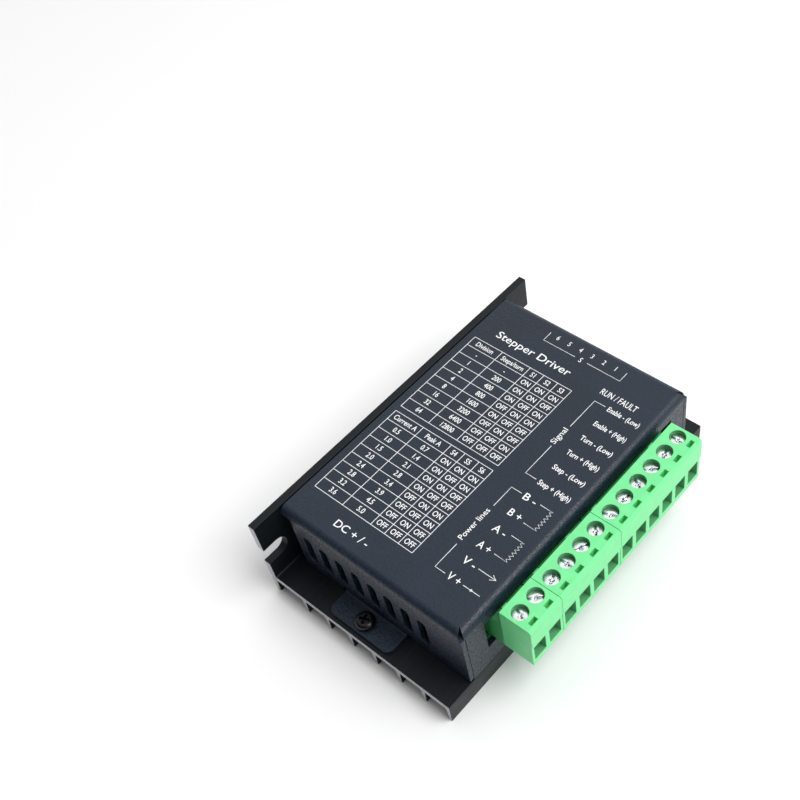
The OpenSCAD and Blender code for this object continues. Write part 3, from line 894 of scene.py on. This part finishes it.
class DRIVER_OT_stage(bpy.types.Operator):
    """Pale floor, soft lights and the camera"""

    bl_idname = "driver.stage"
    bl_label = "Stage"

    def execute(self, context):
        floor_material, shader, coords = start_material("floor_paper", (0.90, 0.90, 0.905), 0.7)
        tone = noise(floor_material, coords, 3.0, 2.0)
        link(
            floor_material,
            ramp(floor_material, tone, [(0.3, (0.93, 0.93, 0.935)), (0.7, (0.95, 0.95, 0.955))]),
            shader.inputs["Base Color"],
        )
        deselect()
        bpy.ops.mesh.primitive_plane_add(size=4.0, location=(0, 0, SINK_LOW.z))
        floor = bpy.context.object
        floor.name = "floor"
        set_material(floor, floor_material)
        middle = (0.0, 0.0, 0.01)
        add_area("key_light", (0.17, -0.42, 0.72), middle, 0.6, 5.0)
        world = bpy.data.worlds.new("studio")
        world.use_nodes = True
        coords = world.node_tree.nodes.new("ShaderNodeTexCoord")
        parts = world.node_tree.nodes.new("ShaderNodeSeparateXYZ")
        half = world.node_tree.nodes.new("ShaderNodeMath")
        half.operation = "MULTIPLY_ADD"
        half.inputs[1].default_value = 0.5
        half.inputs[2].default_value = 0.5
        link(world, coords.outputs["Object"], parts.inputs["Vector"])
        link(world, parts.outputs["X"], half.inputs[0])
        # the side beyond the vented end is unlit
        fall = ramp(world, half.outputs["Value"], [(0.05, (0.05,)), (0.36, (0.42,)), (0.6, (1.0,))])
        link(world, fall, world.node_tree.nodes["Background"].inputs["Color"])
        world.node_tree.nodes["Background"].inputs["Strength"].default_value = 1.05
        context.scene.world = world
        context.scene.view_settings.view_transform = "Standard"
        settings = context.scene.driver_stage
        flat = math.cos(settings.elevation)
        back = Vector(
            (
                math.sin(settings.azimuth) * flat,
                -math.cos(settings.azimuth) * flat,
                math.sin(settings.elevation),
            )
        )
        target = Vector((0.0064, 0.0049, 0.0139))
        deselect()
        bpy.ops.object.camera_add(location=target + back * settings.distance)
        camera = bpy.context.object
        camera.rotation_mode = "QUATERNION"
        turn = (-back).to_track_quat("-Z", "Y").to_matrix() @ Matrix.Rotation(settings.roll, 3, "Z")
        camera.rotation_quaternion = turn.to_quaternion()
        camera.data.lens = settings.lens
        camera.data.shift_x = -0.1345
        camera.data.shift_y = 0.080
        camera.data.clip_start = 0.01
        context.scene.camera = camera
        return {"FINISHED"}


# ---------------------------------------------------------------- panel and start


STEPS = (
    DRIVER_OT_heatsink,
    DRIVER_OT_cover,
    DRIVER_OT_fasteners,
    DRIVER_OT_board,
    DRIVER_OT_lamps,
    DRIVER_OT_switches,
    DRIVER_OT_headers,
    DRIVER_OT_plugs,
    DRIVER_OT_terminals,
    DRIVER_OT_print,
    DRIVER_OT_stage,
)


class DRIVER_PT_panel(bpy.types.Panel):
    """Lists the settings and the steps in the order in which they run"""

    bl_idname = "DRIVER_PT_panel"
    bl_label = "Driver module"
    bl_space_type = "VIEW_3D"
    bl_region_type = "UI"
    bl_category = "Driver module"

    def draw(self, context):
        scene = context.scene
        for group in (scene.driver_edges, scene.driver_finish, scene.driver_print, scene.driver_stage):
            box = self.layout.box()
            for name in group.__annotations__:
                box.prop(group, name)
        for step in STEPS:
            self.layout.operator(step.bl_idname)


GROUPS = {
    "driver_edges": EdgeSettings,
    "driver_finish": FinishSettings,
    "driver_print": PrintSettings,
    "driver_stage": StageSettings,
}


def register():
    for name, group in GROUPS.items():
        bpy.utils.register_class(group)
        setattr(bpy.types.Scene, name, bpy.props.PointerProperty(type=group))
    for item in (*STEPS, DRIVER_PT_panel):
        bpy.utils.register_class(item)


def unregister():
    for item in reversed((*STEPS, DRIVER_PT_panel)):
        bpy.utils.unregister_class(item)
    for name, group in GROUPS.items():
        delattr(bpy.types.Scene, name)
        bpy.utils.unregister_class(group)


def main():
    register()
    bpy.ops.driver.heatsink()
    bpy.ops.driver.cover()
    bpy.ops.driver.fasteners()
    bpy.ops.driver.board()
    bpy.ops.driver.lamps()
    bpy.ops.driver.switches()
    bpy.ops.driver.headers()
    bpy.ops.driver.plugs()
    bpy.ops.driver.terminals()
    bpy.ops.driver.print()
    bpy.ops.driver.stage()


if __name__ == "__main__":
    main()
